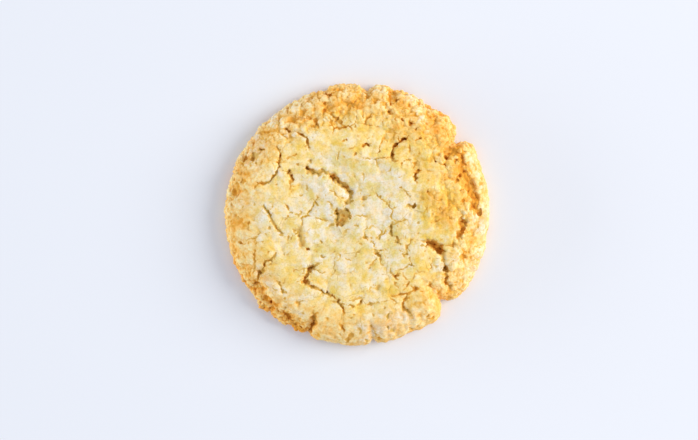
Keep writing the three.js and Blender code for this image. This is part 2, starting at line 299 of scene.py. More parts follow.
# %% Short tears
SHORT_TEARS = [
    # in the middle
    (0.5, 1.0, [(-8.8, 3.9), (-7.9, 3), (-7.2, 2.2)]),
    (0.45, 0.9, [(-13.8, 4.6), (-12.6, 3.4), (-11.4, 2.3)]),
    (0.6, 2.8, [(-6.3, 1.6), (-6.5, -1), (-6.5, -3.4)]), (0.7, 2.8, [(-4.4, 1.2), (-2.9, 1), (-2.6, -1)]),
    (0.4, 0.9, [(-6.5, -3.2), (-5, -3.2), (-3.6, -2.8)]),
    (0.45, 0.8, [(6.6, -3.4), (7, -5.2), (6.6, -7), (5.4, -7.9)]), (0.6, 1.2, [(1.6, -7.1), (2.8, -7.1)]),
    (0.55, 1.1, [(3.9, -10.2), (4.7, -11), (6.2, -12.7), (7, -13.7)]),
    (0.5, 1.0, [(10.2, 1.4), (11.1, 2.2), (12.1, 2.7)]),
    (0.7, 1.8, [(14.2, 2), (15.4, 2.4), (16.4, 2.1), (17.3, 3.3)]),
    (0.55, 1.2, [(14, -9.2), (14.8, -9.6), (15.4, -10.8)]), (0.4, 0.7, [(14.2, -6.5), (13.9, -7.8)]),
    (0.5, 1.1, [(0.7, -10.8), (-0.6, -12.3), (-1.7, -13.4)]),
    (0.4, 0.8, [(-1.7, -13.8), (-2.8, -13.8), (-4.3, -13.6)]),
    (0.5, 0.9, [(-6, -10.2), (-7.3, -11.2), (-8.6, -11.9)]),
    (0.5, 0.8, [(-6.2, -11.6), (-5.5, -12.6), (-5.9, -13.8)]),
    (0.5, 1.2, [(-16, -9.7), (-15, -10.4), (-14.1, -11.3)]), (0.45, 0.9, [(-13.9, -3.7), (-15.2, -4.7)]),
    (1.7, 0.8, [(-18.2, -3.6), (-17.2, -5.6), (-16.8, -8), (-17, -10.4)]),
    (0.4, 0.7, [(-1.2, -16.2), (-1.7, -17.7)]), (0.4, 0.8, [(-5, 19.4), (-6, 17.8), (-6.9, 15.5)]),
    (0.35, 0.7, [(1.3, 12.6), (1.6, 11.4), (2.1, 10.3)]), (0.4, 0.8, [(1.1, 15.4), (1.9, 14.4)]),
    (0.4, 0.8, [(-10.7, 17.9), (-9.9, 16.6)]), (0.5, 0.8, [(10, 14.1), (9.1, 12.8), (8.2, 12.3)]),
    (0.5, 1.1, [(-18.3, 6.5), (-17.5, 5.6), (-16.4, 6.4)]), (0.5, 0.8, [(-15.4, 8.4), (-14.9, 6.8)]),
    (0.8, 0.9, [(21.8, -2.6), (22.6, -2)]), (0.4, 0.7, [(17.8, -9.3), (19, -9.4), (20, -10)]),
    (0.7, 1.7, [(9.9, -16.6), (10.3, -18.2), (11.4, -18.9), (12.7, -17.4)]),
    (0.4, 0.8, [(10.8, -20), (11.6, -22)]), (1.1, 0.7, [(4, -22), (5.4, -22), (6.9, -21.2)]),
    # towards the top
    (0.6, 1.9, [(1.4, 20.1), (2.1, 20.8), (3.2, 20.8), (3.9, 21.5)]),
    (1.0, 1.8, [(-12.7, 27.9), (-12.9, 25.3)]), (0.6, 1.2, [(8, 24), (7.7, 23), (8.5, 21.9)]),
    (0.5, 1.1, [(2.1, 28.5), (1.6, 26.8)]), (0.6, 1.5, [(2.9, 28.6), (3.6, 29), (4.5, 30)]),
    (0.5, 1.1, [(5.2, 29.3), (6.3, 29.7)]), (0.6, 1.0, [(-2.2, 33.2), (-2.4, 32), (-3.6, 30.6)]),
    (0.8, 1.7, [(-9.6, 35.5), (-8.2, 36), (-6.6, 36.7)]),
    (0.5, 1.2, [(-7.3, 37.8), (-6, 38.2), (-4.7, 38.2)]), (0.5, 1.0, [(-3.9, 36.9), (-2.5, 36.7)]),
    (0.6, 1.2, [(0.9, 34.8), (2.6, 34.8), (3.4, 35.4)]), (0.9, 1.3, [(4.3, 34.4), (5.3, 33.2)]),
    (0.9, 1.8, [(10.5, 34.4), (12.2, 34)]), (0.6, 1.2, [(13.9, 31.5), (14, 30.4)]),
    (0.6, 1.1, [(11.2, 29.7), (11.4, 27.9)]), (0.5, 0.8, [(15.2, 29.9), (17.9, 29.6)]),
    (0.8, 1.6, [(17, 22.3), (17.9, 22.5), (18.9, 23)]), (0.4, 0.9, [(19.5, 24.4), (20.8, 23.8), (22, 23.3)]),
    (0.8, 2.0, [(22.4, 16.7), (22.8, 15.7), (24, 15.3)]),
    (0.9, 1.4, [(24.4, 15.3), (25.6, 14.9), (27, 14.4)]), (0.6, 1.1, [(16.3, 15.4), (17.6, 15)]),
    (0.8, 1.0, [(20.8, 13), (22.3, 13.1)]),
    # towards the left
    (0.5, 0.9, [(-23.8, 25.6), (-23.9, 27.3), (-23.4, 29.4)]),
    (0.5, 1.1, [(-21.3, 17), (-20, 17.2), (-18.7, 18.6)]), (0.9, 2.2, [(-35.3, 15.8), (-34.4, 14.8)]),
    (0.8, 1.6, [(-34.3, 15.5), (-34.2, 17.9)]), (0.9, 1.8, [(-31.8, 15.5), (-31.8, 18)]),
    (0.7, 1.9, [(-29.9, 18.2), (-29.2, 19.2), (-27.8, 19.8)]), (0.7, 1.0, [(-28.6, 22.8), (-27.2, 22.9)]),
    (0.5, 1.2, [(-19, 31), (-18.2, 30)]), (0.5, 1.2, [(-35.9, -8.6), (-34.8, -8.8), (-33.6, -9)]),
    (0.6, 0.9, [(-32.6, -1.4), (-32.8, -4)]), (0.4, 0.8, [(-37.8, -3.7), (-36.5, -3.3)]),
    (0.5, 1.0, [(-24.4, -19.8), (-22.9, -22.2), (-22.6, -24.6)]),
    (0.7, 1.2, [(-21.7, -27.6), (-22, -29.2), (-21, -31.7)]), (0.8, 1.1, [(-13.9, -27.9), (-12.5, -27.8)]),
    # towards the bottom
    (0.5, 1.2, [(2, -27.1), (4.4, -26.8), (6.4, -26.5), (9.1, -26)]),
    (0.5, 1.1, [(9.4, -29.4), (9, -31), (8.2, -31.7)]),
    (0.5, 1.1, [(-5.4, -32.4), (-4.8, -34.4), (-4.2, -36)]),
    (0.4, 0.8, [(0.9, -33.8), (0.4, -35.2), (0.9, -36.2)]),
    # in the right-hand lip
    (0.8, 1.6, [(33, 6.2), (34, 5.2), (36, 3.8)]), (0.8, 1.4, [(34.8, 3.6), (34.3, 2), (34.1, 0.4)]),
    (0.5, 1.1, [(36.3, 1), (37.1, -1)]), (1.0, 1.6, [(32.6, -0.4), (31, -1.9), (31.9, -3.4), (32.2, -4.2)]),
    (0.5, 1.4, [(29.7, -5), (30.2, -6)]), (0.6, 1.3, [(29.9, -7.8), (30.9, -7.2)]),
    (0.5, 1.2, [(34.4, -13.9), (36.3, -13.4)]), (0.8, 0.9, [(28.2, -21), (30, -20.1)]),
]
TEARS = LONG_TEARS + SHORT_TEARS
print(len(TEARS), "tears in all")

# %% [markdown]
# The distance to a route is the least distance to any of its straight spans. A tear narrows towards its ends,
# so we also need to know how far the nearest point is from an end. Both are found for all points at once.

# %% Distance to a route
def along_route(x, y, route):
    """The distance to the route, and from its nearest point on to the nearer end."""
    corners = np.array(route, float)
    spans = np.hypot(*np.diff(corners, axis=0).T)
    reached = np.concatenate([[0], np.cumsum(spans)])
    nearest = np.full_like(x, 1e9)
    along = np.zeros_like(x)
    for i, (start, end) in enumerate(zip(corners[:-1], corners[1:])):
        step = end - start
        t = np.clip(((x - start[0]) * step[0] + (y - start[1]) * step[1]) / spans[i] ** 2, 0, 1)
        distance = np.hypot(x - start[0] - t * step[0], y - start[1] - t * step[1])
        closer = distance < nearest
        nearest[closer] = distance[closer]
        along[closer] = (reached[i] + t * spans[i])[closer]
    return nearest, np.minimum(along, reached[-1] - along)


print(f"the gully passes {along_route(*MIDDLE, LONG_TEARS[0][2])[0][0]:.1f} mm from the middle")

# %% [markdown]
# A tear is ragged, because it goes round the crumbs in its way. So every distance is measured from a point
# that has been pushed about by a noise, and then drawn towards the middle of the crumb that it lies in.

# %% Ragged tears
SWAY_X = [(0.45, 2.2, 11.3), (0.45, 0.9, 12.9)]
SWAY_Y = [(0.45, 2.2, 14.2), (0.45, 0.9, 15.8)]
CRUMBS = (1.1, 16.0)  # how far across, and a seed
CLINGING = 0.28  # how far a point is drawn, as a share of the way


def torn(x, y):
    """The same points, pushed about, so that what is measured from them comes out ragged."""
    flat = flat_points(x, y)
    x = x + grains(flat, *SWAY_X)
    y = y + grains(flat, *SWAY_Y)
    _, offset, _ = plates(x, y, *CRUMBS)
    return x - CLINGING * offset[:, 0], y - CLINGING * offset[:, 1]


print("the middle is pushed by", np.round(torn(*MIDDLE), 2).ravel(), "mm")

# %% [markdown]
# Where a chunk of skin has come away, it leaves a pit. The deepest are dark holes, and the widest are shallow
# hollows that show the golden crumb. Pits side by side make one broad hollow, and pits on a tear widen it.

# %% Pits
PITS = [
    # a place, a radius and a depth
    # in the middle
    (-5.6, 0, 1.5, 0.9), (-3.9, 0, 1.5, 1.0), (-4.7, 0.6, 1.1, 0.9), (-5.6, -1.8, 1.4, 0.9),
    (-4, -1.7, 1.4, 0.8), (-4.7, -0.9, 1.4, 0.9), (-4.8, -2.5, 1.0, 0.8), (-6.4, 0.5, 0.7, 2.5),
    (-6.5, -1.3, 0.8, 2.6), (-6.3, -2.8, 0.6, 2.2), (-3, 0.9, 0.7, 2.4), (-2.8, -0.4, 0.5, 2.2),
    (-4.9, -0.4, 0.45, 1.8), (-4.2, -2.1, 0.4, 1.6), (-15.4, 13.7, 0.8, 2.2), (-13.6, 12.5, 0.5, 1.8),
    (-10.8, 12.7, 0.9, 1.0), (-7.8, 11.2, 1.4, 3.0), (-6.3, 9.6, 0.7, 2.0), (-4.4, 8.3, 0.8, 1.8),
    (-2.7, 6.7, 1.3, 2.2), (-2.7, 4.6, 0.8, 1.3), (-3.6, 2.8, 0.7, 1.1), (1.9, 4.8, 1.0, 0.8),
    (-0.3, -3.5, 0.5, 1.1), (4.3, -8.6, 0.5, 1.1), (12, -8.8, 0.6, 1.4), (-17.6, -6.4, 0.6, 1.4),
    (-19.1, -5, 0.5, 1.1), (-20.9, -7.2, 0.45, 0.9), (-17.5, 0.2, 0.45, 0.9), (-14.4, -16.4, 1.5, 3.0),
    (-16, -20.4, 1.1, 1.9), (-9.3, -24, 0.6, 1.9), (-5.9, -26.3, 0.7, 2.4), (-10.8, -12.6, 0.45, 0.9),
    (18.3, -2.5, 0.6, 0.6), (20.8, 7, 0.5, 1.2), (21.6, -21.2, 0.8, 0.9), (-14.2, 16.2, 0.8, 1.0),
    (-4.3, 22.2, 0.5, 1.4), (-0.6, 18.2, 0.45, 0.7), (-25.9, -13.9, 0.6, 1.9), (-29.3, -17.6, 0.9, 2.2),
    (-20.9, 12.7, 0.9, 2.7), (-20.2, 11.5, 0.6, 1.8), (-26.2, -0.3, 0.5, 1.5),
    # towards the rim
    (11.6, 21.3, 0.9, 2.8), (10.4, 19.4, 0.6, 2.4), (9.1, 30.7, 0.9, 2.1), (9.9, 32.9, 0.7, 1.5),
    (16.1, 27.4, 0.9, 2.1), (17.1, 25.5, 0.6, 1.2), (13.3, 28.4, 0.4, 1.3), (9.6, 36.2, 0.5, 0.9),
    (15.3, 32.7, 0.5, 0.8), (22.9, 28.1, 0.9, 1.0), (26.5, 16.7, 0.65, 2.5), (-1.4, 37.3, 0.8, 0.8),
    (-12.3, 36.3, 0.8, 0.8), (-10, 33.4, 0.5, 1.1), (-0.9, 26.4, 0.5, 1.0), (-31, 17.8, 1.3, 1.0),
    (-17, 30.4, 1.1, 0.8), (-20.5, 31.9, 0.6, 0.9), (-37.8, 6.8, 0.8, 0.8), (-34.6, 9.9, 0.8, 0.7),
    (-28.7, -27.8, 0.9, 1.5), (-31.3, -20.6, 0.7, 1.6), (-11.8, -36.3, 0.9, 0.9), (-3, -38, 1.0, 1.1),
    (-2, -36.5, 0.7, 0.9), (2.6, -37.9, 0.7, 1.2), (6.6, -37.5, 0.8, 0.9), (8.7, -34, 0.55, 1.3),
    (10.2, -34.7, 1.0, 0.8), (8.2, -28.2, 0.5, 0.9), (15.8, -34.8, 0.8, 0.8), (22.4, -31.5, 0.8, 0.8),
    (-21, -31.6, 0.6, 1.8), (-21.8, -27.9, 0.6, 1.6), (-22.2, -30.2, 0.5, 1.8), (-24.5, -29, 0.5, 1.5),
    (-19, -33.4, 0.5, 1.4), (-17.2, -34.4, 0.5, 1.3), (-26.2, -26.6, 0.5, 1.3), (-18.2, -26.6, 0.7, 0.7),
    # in the right-hand lip
    (28.8, 18.4, 1.2, 1.3), (30.6, 17.6, 1.2, 1.4), (32.2, 18.5, 1.0, 1.2), (31, 13, 1.9, 1.7),
    (30.3, 11.9, 0.6, 2.1), (33.5, 10.9, 0.7, 1.2), (33.2, 8.5, 2.4, 1.8), (32, 8.4, 0.7, 2.1),
    (34.7, 5.5, 1.6, 1.9), (34.6, 2.5, 1.5, 1.9), (36, 0.8, 1.1, 1.7), (31.3, -2.3, 1.5, 2.2),
    (31.2, -4.2, 1.0, 1.8), (30.2, -6.5, 0.9, 1.5), (31.6, 15.4, 1.1, 1.4), (29.4, 16.2, 0.8, 1.5),
    (27.4, 18, 0.8, 1.3), (29.8, 10.2, 0.6, 1.3), (30.8, 7, 0.6, 1.2), (31.4, 4.4, 0.5, 1.1),
    (26.1, -16.2, 0.9, 2.8), (26, -11.2, 0.7, 2.2), (31.7, -12.8, 0.7, 0.9), (34.2, -6.6, 0.6, 0.8),
    (29, -24, 1.1, 0.7), (33.4, 20.5, 0.7, 0.9), (37, 9.2, 0.6, 0.6),
]
print(len(PITS), "pits")

# %% [markdown]
# A tear has steep walls and rounded shoulders, because the skin curled down as it tore. It is narrowest and
# shallowest at its ends, and crumbs bridge it here and there. How dark a tear looks depends on how deep it is
# for its width: light reaches the floor of a wide one.

# %% Grooves and pits
TAPER = 1.4  # the length of a tear's narrow end
WALL_POWER = 0.45  # a lower power makes a steeper wall
PIT_POWER = 0.6
PIT_DEEPER = 1.2  # pits go this much deeper than listed
PALEST = 0.1  # the darkness of the shallowest tear
DARKEST_RATIO = 3.0  # a tear this many times as deep as wide is dark


def darkness(depth_over_width):
    return min(1, PALEST + depth_over_width / DARKEST_RATIO)


def groove(x, y, ragged, bridged, tear):
    """How deep the tear cuts, how dark it is, and how far its shoulders droop."""
    width, depth, route = tear
    distance, to_end = along_route(x, y, route)
    spread = smooth(to_end, 0, TAPER)
    half = width / 2 * (0.6 + 0.6 * spread)
    inside = np.clip(1.2 - (distance + ragged * min(1, width / 0.9)) / half, 0, 1)
    wall = inside**WALL_POWER * (0.4 + 0.6 * spread)
    wall *= np.minimum(1, bridged * width / 0.55)
    droop = 0.06 * depth**0.7 * np.exp(-((distance / (0.5 + 0.35 * depth)) ** 2))
    return depth * wall, darkness(depth / width) * wall, droop * spread


def pit(x, y, ragged, row):
    """How deep the pit cuts, and how dark it is."""
    at_x, at_y, radius, depth = row
    deepest = PIT_DEEPER * depth
    away = np.maximum(np.hypot(x - at_x, y - at_y) + 1.6 * ragged, 0)
    wall = np.clip(1.1 - (away / radius) ** 2, 0, 1) ** PIT_POWER
    return deepest * wall, darkness(deepest / (2 * radius)) * wall


print(f"a tear as deep as it is wide is {darkness(1):.2f} dark")

# %% [markdown]
# Between these tears the whole skin is crazed into plates, and smaller cells break each plate up. Every one
# sits at its own height, tilts its own way and is rounded off towards its seams, and here and there a seam
# has opened as a hairline. Pores, where steam came out, prick the skin. There are far too many to place by
# hand, so noise scatters them all.

# %% Plates, hairlines and pores
PLATES = [
    # across, step in height, tilt, shoulder's depth and width,
    # hairline's depth and half-width, how far the seams stay shut, and a seed
    (8.0, 0.13, 0.022, 0.13, 0.50, 0.9, 0.17, 0.22, 21.0),
    (4.2, 0.05, 0.022, 0.05, 0.40, 0.7, 0.15, 0.42, 23.0),
]
PORES = [
    # across, radius as a share of that, depth, the share of the radius they start at, and a seed
    (3.1, 0.12, 0.6, 0.0, 29.0),
    (2.2, 0.17, 0.6, 0.6, 61.0),
]
LEAN_STEPS = 37  # turns a plate's chance into a direction


def crazing(x, y, ragged):
    """How much the plates lower the skin, how near a seam is, and how deep and dark the hairlines are."""
    flat = flat_points(x, y)
    lowered, seams, opened, dark = np.zeros((4, len(x)))
    dotted = smooth(grain(flat, 1.2, 27.0), -0.6, 0.1) * (1 - 0.5 * smooth(rim_share(x, y), 0.65, 0.9))
    for across, step, tilt, shoulder, width, depth, half, shut, seed in PLATES:
        seam, offset, chance = plates(x, y, across, seed)
        near = np.exp(-((seam / width) ** 2))
        leaning = offset[:, 0] * np.cos(LEAN_STEPS * chance) + offset[:, 1] * np.sin(LEAN_STEPS * chance)
        lowered += step * chance + tilt * leaning + shoulder * near
        seams = np.maximum(seams, near)
        here = smooth(grain(flat, 0.8 * across, seed + 4), shut - 0.3, shut + 0.3) * dotted
        hairline = here * np.clip(1.2 - (seam + 0.5 * ragged) / half, 0, 1) ** 0.6
        opened = np.maximum(opened, depth * hairline)
        dark = np.maximum(dark, darkness(depth / (2 * half)) * hairline)
    for across, radius, depth, start, seed in PORES:
        pores = np.clip(1 - (reach(flat, across, seed) / radius) ** 2, 0, 1) ** 0.5
        pores *= smooth(rim_share(x, y), start - 0.1, start + 0.1)
        opened = np.maximum(opened, depth * pores)
        dark = np.maximum(dark, darkness(depth / (2 * radius * across)) * pores)
    return lowered, seams, opened, dark


print("the crazing of the middle is", np.round(crazing(*MIDDLE, 0.0), 2).ravel())

# %% [markdown]
# All of these are now put together, and the deepest cut wins where two meet. Crumbs have fallen back into the
# tears, so their floors are uneven, and only about two thirds of the listed depth is left open.

# %% All the cracks together
RAGGED = [(0.2, 1.3, 17.1), (0.2, 0.6, 18.3)]
LEFT_OPEN = 0.68


def cracked(x, y):
    """How far the plates lower the skin, how near a seam is, and how deep and how dark it is torn open."""
    flat = flat_points(x, y)
    ragged = grains(flat, *RAGGED)
    tx, ty = torn(x, y)
    lowered, seams, opened, dark = crazing(tx, ty, ragged)
    bridged = 0.35 + 0.65 * smooth(grain(flat, 1.7, 26.0), -0.5, 0.0)
    droop = np.zeros_like(x)
    for tear in TEARS:
        cut, shade, shoulder = groove(tx, ty, ragged, bridged, tear)
        opened, dark, droop = np.maximum(opened, cut), np.maximum(dark, shade), np.maximum(droop, shoulder)
    for row in PITS:
        cut, shade = pit(tx, ty, ragged, row)
        opened, dark = np.maximum(opened, cut), np.maximum(dark, shade)
    return lowered + droop, seams, opened * (LEFT_OPEN + 0.4 * grain(flat, 0.9, 19.0)), dark


print(f"the middle is torn {cracked(*MIDDLE)[2][0]:.1f} mm deep")

# %% [markdown]
# ## Spreading the dough
# The body is a lathe shape, so it is spun: a half profile turns round the Z axis, from the middle of the
# underside, round the rim and back to the middle of the top. Its vertices are close together on top, and
# closest at the rim, because the cracks are pressed in afterwards by moving them down.

# %% Spin the disc of dough
RING_SPACING = 0.3
AROUND = 700  # steps in a whole turn
BASE_RINGS = 6
BASE_SHARE = 0.96  # the underside's share of the radius
SIDE_RINGS = 6
CROWDING = 1.35  # above 1, the rings of the top crowd outwards
SAME_SPOT = 1e-5


def dough_profile():
    points = [(RADIUS * i / BASE_RINGS * BASE_SHARE, 0.0) for i in range(BASE_RINGS)]
    for i in range(SIDE_RINGS):
        a = math.pi / 2 * i / SIDE_RINGS
        points.append((RADIUS - BASE_INSET * (1 - math.sin(a)), RIM_HEIGHT * (1 - math.cos(a))))
    rings = int(RADIUS / RING_SPACING)
    for i in range(rings, 0, -1):
        share = 1 - (1 - i / rings) ** CROWDING
        points.append((RADIUS * share, THICKNESS))
    points.append((0.0, THICKNESS))
    return points


def spun(profile, around):
    bm = bmesh.new()
    verts = [bm.verts.new((r, 0, z)) for r, z in profile]
    edges = [bm.edges.new(pair) for pair in zip(verts[:-1], verts[1:])]
    bmesh.ops.spin(bm, geom=verts + edges, cent=(0, 0, 0), axis=(0, 0, 1), angle=2 * math.pi,
                   steps=around, use_merge=True)
    bmesh.ops.remove_doubles(bm, verts=bm.verts, dist=SAME_SPOT)
    bmesh.ops.recalc_face_normals(bm, faces=bm.faces)
    return bm


def put_in_scene(name, data):
    holder = bpy.data.objects.new(name, data)
    bpy.context.scene.collection.objects.link(holder)
    return holder


def to_object(bm, name):
    mesh = bpy.data.meshes.new(name)
    bm.to_mesh(mesh)
    bm.free()
    return put_in_scene(name, mesh)


cookie = to_object(spun(dough_profile(), AROUND), "cookie_crust")
print("the dough has", len(cookie.data.vertices), "vertices")

# %% [markdown]
# ## Pressing in the cracks
# The vertices are read into one array, moved together and written back, which is far quicker than a loop.
# Each ring is stretched to the uneven outline, and the top rises to its height, less the cracks. No crack
# goes down to the tray.

# %% Move the vertices
CRACK_FLOOR = 1.0  # the least that is left under a crack
CUT_FADES = 1.5  # the cracks fade out over this height above RIM_HEIGHT


def read(items, name):
    values = np.zeros(len(items) * 3, np.float32)
    items.foreach_get(name, values)
    return values.reshape(-1, 3).astype(float)


def write_points(mesh, points):
    mesh.vertices.foreach_set("co", points.astype(np.float32).ravel())
    mesh.update()


def shape_dough(mesh):
    points = read(mesh.vertices, "co")
    stretch = outline_at(points[:, 0], points[:, 1]) / RADIUS
    points[:, :2] *= stretch[:, None]
    top = points[:, 2] > RIM_HEIGHT
    x, y = points[top, 0], points[top, 1]
    height = top_height(x, y)
    lowered, _, opened, _ = cracked(x, y)
    cut = (lowered + opened) * smooth(height, RIM_HEIGHT, RIM_HEIGHT + CUT_FADES)
    points[top, 2] = np.maximum(height - cut, np.minimum(height, CRACK_FLOOR))
    write_points(mesh, points)
    print(f"the deepest cut is {cut.max():.1f} mm")


shape_dough(cookie.data)

# %% [markdown]
# ## An even skin
# Stretched quads on the crack walls would show as streaks, so the whole body is rebuilt by a voxel remesh,
# which lays an even net of quads over any closed shape. The net has to be finer than half of the smallest
# crumb, or the crumb would be lost between its vertices.

# %% Voxel remesh
VOXEL = 0.26


def applied(piece):
    """Makes what the piece's modifiers give its real mesh."""
    graph = bpy.context.evaluated_depsgraph_get()
    fresh = bpy.data.meshes.new_from_object(piece.evaluated_get(graph))
    piece.modifiers.clear()
    old, piece.data = piece.data, fresh
    bpy.data.meshes.remove(old)


def remeshed(piece, voxel):
    remesh = piece.modifiers.new("even skin", "REMESH")
    remesh.mode = "VOXEL"
    remesh.voxel_size = voxel
    applied(piece)


remeshed(cookie, VOXEL)
print("the even skin has", len(cookie.data.polygons), "faces")

# %% [markdown]
# ## Where the crumb is coarse
# The crumb is fine in the middle, and coarse on the rim, which dried fastest. It is coarsest on the far side
# and on the ledge, where the inside of the dough shows, and three browned spots further in are rough too. The
# lip on the right, which is painted pale as a highlight, and the near side stayed calmer.

# %% Coarse and calm places
# each arc is an angle, a half-width, and the shares of the radius where it starts and is full
PALE_LIP = (-3, 40, 0.89, 0.94)
LEDGE = (228, 30, 0.86, 0.92)
NEAR_SIDE = (278, 38, 0.7, 0.85)
CALM_ARCS = [(PALE_LIP, 0.65), (NEAR_SIDE, 0.55)]
COARSE_SPOTS = [
    # a place, a radius, and how coarse
    (24, 3, 7.5, 1.1), (19, 16, 5, 0.5), (-31, -12, 6, 0.4),
]
LEDGE_COARSE = 1.4


def on_arc(x, y, arc):
    """1 on a stretch of the rim and 0 off it."""
    at, span, start, full = arc
    return (1 - smooth(turn(bearing(x, y), at), 0.6 * span, span)) * smooth(rim_share(x, y), start, full)


def coarseness(points):
    """0 on the fine middle of the top and 1 on the coarse rim."""
    x, y, _ = points.T
    far_side = y / RADIUS
    uneven = 0.12 * grain(points, 7, 31.0) + 0.12 * far_side + 0.14 * x / RADIUS
    coarse = smooth(rim_share(x, y) + uneven, 0.6, 0.9) * (1 + 0.3 * far_side)
    for at_x, at_y, radius, amount in COARSE_SPOTS:
        away = np.hypot(x - at_x, y - at_y)
        coarse = np.maximum(coarse, amount * (1 - smooth(away / radius, 0.5, 1.1)))
    return np.maximum(coarse, LEDGE_COARSE * on_arc(x, y, LEDGE))


print("the coarseness of the middle is", coarseness(flat_points(*MIDDLE))[0])

# %% [markdown]
# ## The crumb
# Baked dough is crumbs stuck together, so its skin is lumpy at every scale: swells of 5 mm, lumps of 2.5 mm,
# crumbs of 1 mm and grains of two thirds of a millimetre. Each is a low dome with a narrow crevice round it.
# A bump would leave the edge smooth, so the layers move the surface itself, along its normals, and lumps
# stand out of the rim and the crack walls too. At the edge the big ones are lower, so that the outline stays
# as drawn. The underside lay flat on a tray, so it hardly moves.

# %% Raise the crumb
LAYERS = [
    # across, height in the middle and at the rim, growth at the edge, how much painted shade its crevices get,
    # a seed
    (5.2, 0.30, 1.30, -0.2, 0.2, 41.0),
    (2.5, 0.14, 0.66, -0.2, 0.4, 43.0),
    (1.2, 0.08, 0.46, 1.2, 0.7, 47.0),
    (0.65, 0.06, 0.32, 1.2, 0.45, 49.0),
]
SWAY_SEEDS = (33.0, 35.0, 37.0)


def raise_crumb(mesh, opened):
    """Moves the surface, and says how far each point stands out, how much painted shade its crevices get, and
    how coarse it is.
    """
    points = read(mesh.vertices, "co")
    x, y, z = points.T
    rough = np.maximum(coarseness(points), 1.1 * smooth(opened, 0.25, 0.7))
    for arc, calm in CALM_ARCS:
        rough *= 1 - calm * on_arc(x, y, arc)
    off_tray = smooth(z, 0.1, 0.7)
    edge = smooth(rim_share(x, y), 0.93, 0.99)
    sway = np.stack([grain(points, 1.7, seed) for seed in SWAY_SEEDS], axis=1)
    lumpiness, crevice_shade, height = np.zeros((3, len(points)))
    for across, fine, coarse, growth, shade_in_crevices, seed in LAYERS:
        far = reach(points + 0.3 * across * sway, across, seed)
        dome = 0.25 - far**3
        height += (fine + (coarse - fine) * rough) * dome * (1 + edge * growth)
        lumpiness += dome
        # painted shade: the crevices between lumps get it, more where the crumb is coarse
        crevice_shade += shade_in_crevices * (0.45 + 0.55 * rough) * smooth(far, 0.55, 0.9)
    normals = read(mesh.vertex_normals, "vector")
    write_points(mesh, points + normals * (height * off_tray)[:, None])
    return lumpiness, crevice_shade, rough


points = read(cookie.data.vertices, "co")
_, seams, opened, dark = cracked(points[:, 0], points[:, 1])
lumpiness, crevice_shade, rough = raise_crumb(cookie.data, opened)
print(f"lumpiness from {lumpiness.min():.1f} to {lumpiness.max():.1f}")

# %% [markdown]
# ## Where it browned
# An oven browns what is thin and dry. So the rim is browner than the middle, and more so on the far and
# right-hand sides, where the oven was hotter. The hollows between lumps are browner than the lumps, as painted
# shade, and the lump tops are paler, as painted highlight. Soft noise makes it all patchy, and some places and
# stretches of the rim are listed, a few of them paler as painted light.

# %% Patches of browning
PATCHES = [
    # a place, a radius, and how much browner or paler it is
    (25.8, 11, 2.2, 0.3), (24, 24.8, 2, 0.3), (11, 26, 1.8, 0.3), (3.5, 27, 1.8, 0.25), (-6.4, 33, 1.5, 0.25),
    (0.5, 32, 2.2, 0.3), (-12.2, 36.3, 1.5, 0.25), (-25.3, -26, 1.8, 0.25), (-34, -13, 4, 0.2),
    (-36, -3, 2.8, 0.25), (21, -24, 2.6, 0.3), (34.5, -8, 2, 0.35), (-16.5, -28, 1.6, 0.25),
    (30, 18, 2.4, 0.2), (12, 16.2, 0.9, 0.25), (27, -2, 2.6, 0.35), (22, 5, 2.2, 0.25), (34, 7, 2, 0.15),
    (30, 13, 1.6, 0.2), (-5.5, 6.5, 2.5, 0.18), (-9, 9, 3, -0.02), (27, 5, 7, 0.1), (25.5, 3, 5.5, 0.07),
    (13, 7, 5, 0.05), (-4.6, -0.9, 1.9, 0.25), (-7.8, 11.4, 1.3, 0.3), (19, 20, 7, 0.08), (20, -20, 6, 0.05),
    (-24, 11.5, 2.2, -0.2), (-28.5, -1, 3.4, -0.3), (-28.5, -6, 3.2, -0.3), (-25, 6, 3, -0.05),
    (22.5, 28.5, 2.6, 0.25), (6, 5, 3, -0.2), (24, -14, 3, -0.25), (-9, -1, 2.6, -0.25),
    (-17, -17, 2.4, -0.2), (30.5, 0, 2, -0.2), (8.5, -4.5, 3, -0.2), (-12, 23, 2.4, -0.15),
    (-18, 22.5, 2, -0.15), (4, -33, 5, -0.1), (-31, 17.5, 6, -0.08), (14, -30, 3, 0.06), (-20.5, 31, 5, 0.16),
    (-28, -21, 2, -0.2), (-17, -25, 2, -0.2),
]
ARCS = [
    # a stretch of the rim, and how much browner or paler it is; the paler stretches, on the lip to the right,
    # the top, the upper left and the near side, are painted light
    (PALE_LIP, -0.25), (LEDGE, 0.22), ((195, 45, 0.88, 0.96), 0.04), ((132, 32, 0.84, 0.94), -0.12),
    ((95, 50, 0.9, 0.97), -0.12), (NEAR_SIDE, -0.03), ((316, 22, 0.84, 0.92), 0.04),
]


def patched(x, y):
    browner = np.zeros_like(x)
    for at_x, at_y, radius, amount in PATCHES:
        browner += amount * np.exp(-(((x - at_x) ** 2 + (y - at_y) ** 2) / radius**2))
    for arc, amount in ARCS:
        browner += amount * on_arc(x, y, arc)
    return browner


print(len(PATCHES), "patches and", len(ARCS), "stretches of the rim")

# %% [markdown]
# Four numbers for each vertex are kept as attributes, for the material to read. `gap` says how dark a tear
# looks there. The crease number says how far the vertex lies in a seam between plates or a crevice between
# lumps, where painted shade goes. The toast number says how brown it baked, most of all by the hot tray, and
# it also carries the painted shade and highlight on the lumps and some paler stretches of the rim. `rim` says
# how near the rim it is.

# %% Store the browning
PALE_MIDDLE = 0.22
SIDES, UNDERSIDE = 0.22, 0.7


